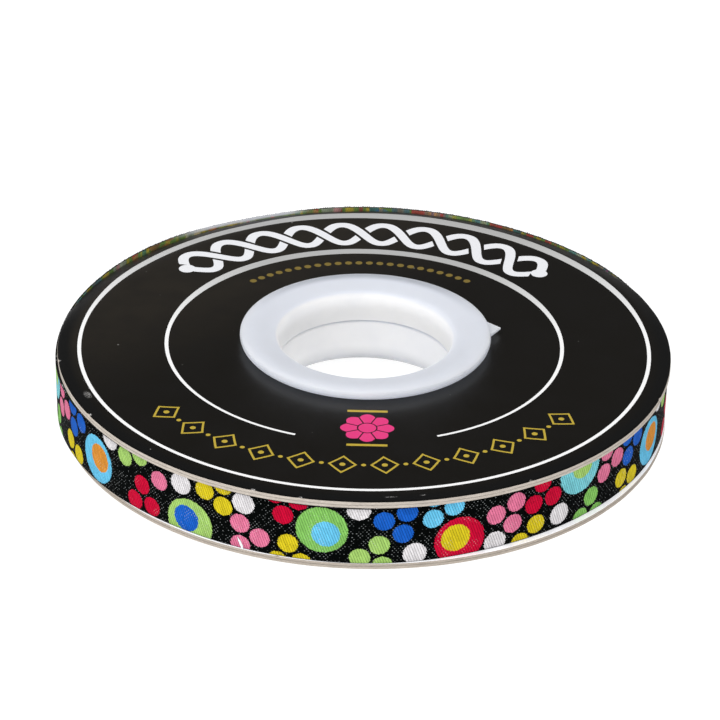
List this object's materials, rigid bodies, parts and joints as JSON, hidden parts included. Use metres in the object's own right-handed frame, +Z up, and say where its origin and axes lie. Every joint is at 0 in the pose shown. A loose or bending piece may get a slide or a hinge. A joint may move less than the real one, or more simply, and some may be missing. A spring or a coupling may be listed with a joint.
{
  "type": "roll of jacquard ribbon on a boarded plastic core",
  "caption": "Narrow woven ribbon wound flat between round boards on a lipped plastic core with a central hole.",
  "frame": {"origin": "under the middle of the roll, on the surface it lies on", "axes": "+Z up through the core's hole, -Y towards the viewer, +X to the viewer's right"},
  "size_m": [0.1347, 0.1345, 0.0201],
  "materials": {
    "ribbon": "black jacquard weave with bright satin dots",
    "printed_board": "half-gloss black print with white and gold lines, beige cut edge",
    "plain_board": "white inner face, beige cut edge, matt",
    "core_plastic": "milky white moulded plastic, soft gloss"
  },
  "bodies": {
    "root": {"ribbon_roll": "ribbon", "upper_board": "printed_board", "lower_board": "plain_board", "core_upper": "core_plastic", "core_lower": "core_plastic"}
  },
  "joints": []
}
